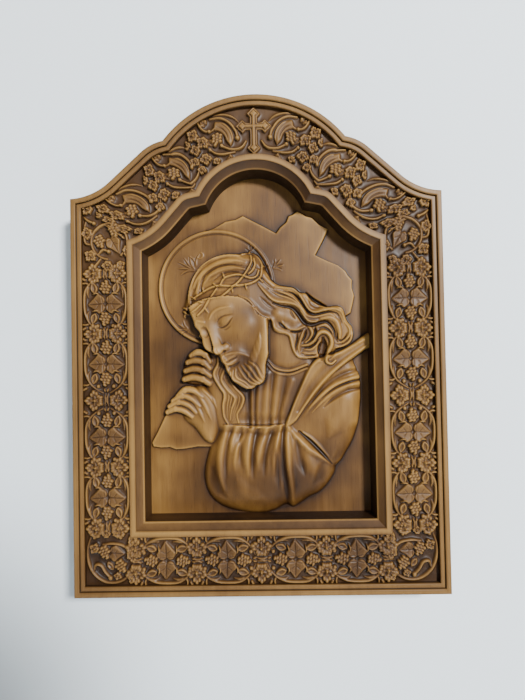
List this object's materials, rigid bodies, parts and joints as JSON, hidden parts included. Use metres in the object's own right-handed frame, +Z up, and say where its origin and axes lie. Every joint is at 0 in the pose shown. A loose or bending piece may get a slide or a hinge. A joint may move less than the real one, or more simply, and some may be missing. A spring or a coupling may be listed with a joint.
{
  "type": "carved wooden icon",
  "caption": "Arched wall icon in carved wood: a vine-scroll frame with a deep opening round a board in low relief with a haloed figure.",
  "frame": {"origin": "hanging point in the middle of the top rail, on the flat back that lies against the wall", "axes": "+Z up, +Y out of the back into the wall, so the carved front faces -Y; +X to the right seen from the front"},
  "size_m": [0.3, 0.036, 0.403],
  "materials": {
    "frame_wood": "stained and waxed hardwood, satin, dark in the hollows and tan on the edges",
    "panel_wood": "stained and waxed hardwood, satin, upright grain"
  },
  "bodies": {
    "root": {"carved_frame": "frame_wood", "icon_panel": "panel_wood"}
  },
  "joints": []
}
